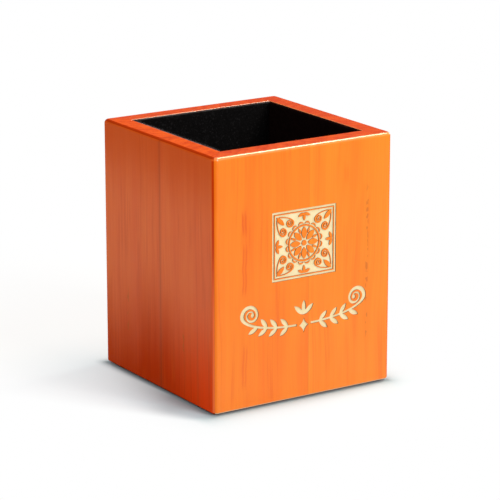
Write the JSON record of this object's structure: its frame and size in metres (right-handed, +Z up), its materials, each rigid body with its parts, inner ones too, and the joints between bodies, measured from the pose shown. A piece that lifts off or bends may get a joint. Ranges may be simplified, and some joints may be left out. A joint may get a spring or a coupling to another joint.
{
  "type": "pencil cup",
  "caption": "Square open-topped desk cup of mitred, stained wooden staves with a felt lining, a felt foot and a gilded engraved ornament on the front.",
  "frame": {"origin": "middle of the footprint, on the surface that the cup stands on", "axes": "+Z up along the cup's axis, -Y out of the front with the ornament, +X to the right seen from the front"},
  "size_m": [0.0826, 0.0826, 0.1016],
  "materials": {
    "stained_wood": "amber-orange stain under satin lacquer",
    "plain_board": "unfinished plywood",
    "lining_felt": "black napped felt",
    "base_felt": "black pressed felt",
    "gold_fill": "pale gold paint"
  },
  "bodies": {
    "root": {"front_left_stave": "stained_wood", "front_right_stave": "stained_wood", "right_front_stave": "stained_wood", "right_back_stave": "stained_wood", "back_right_stave": "stained_wood", "back_left_stave": "stained_wood", "left_back_stave": "stained_wood", "left_front_stave": "stained_wood", "bottom_board": "plain_board", "base_felt": "base_felt", "floor_lining": "lining_felt", "front_lining": "lining_felt", "back_lining": "lining_felt", "left_lining": "lining_felt", "right_lining": "lining_felt", "emblem_gilding": "gold_fill", "flourish_gilding": "gold_fill"}
  },
  "joints": []
}
